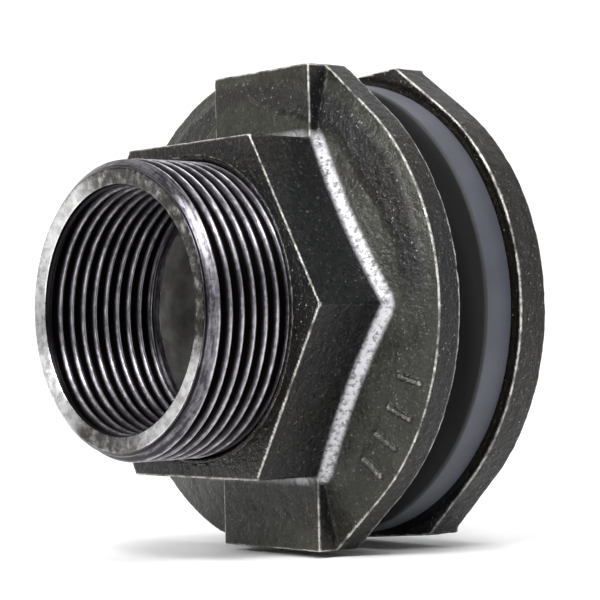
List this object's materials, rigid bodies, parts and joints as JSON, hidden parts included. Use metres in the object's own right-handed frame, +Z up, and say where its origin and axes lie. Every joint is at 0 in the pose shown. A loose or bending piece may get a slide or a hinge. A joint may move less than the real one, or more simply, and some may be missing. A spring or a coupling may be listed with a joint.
{
  "type": "flanged tank connector",
  "caption": "Threaded cast-iron tank connector: a flanged sleeve with a flanged hexagon nut and a rubber ring that clamp either side of a tank wall.",
  "frame": {"origin": "on the bore axis, halfway along the fitting", "axes": "+Z up, standing on its lower lugs; +Y along the bore from the nut end to the body hexagon; +X to the right seen from the nut end"},
  "size_m": [0.0804, 0.064, 0.0804],
  "materials": {
    "cast_body": "black lacquered casting, threads cut bright",
    "cast_nut": "black lacquered casting, threads cut bright",
    "seal_rubber": "matt moulded rubber"
  },
  "bodies": {
    "body": {"body_casting": "cast_body"},
    "seal": {"sealing_ring": "seal_rubber"},
    "nut": {"flanged_nut": "cast_nut"}
  },
  "joints": [
    {"name": "nut_turn", "type": "hinge", "parent": "body", "child": "seal", "pos_m": [0, 0.0145, 0], "axis": [0, -1, 0], "range_deg": [-1116, 5220]},
    {"name": "nut_travel", "type": "slide", "parent": "seal", "child": "nut", "axis": [0, -1, 0], "range_m": [-0.0073, 0.0336]}
  ],
  "couplings": [
    {"joint": "nut_travel", "follows": "nut_turn", "m_per_rad": 0.00036749}
  ]
}
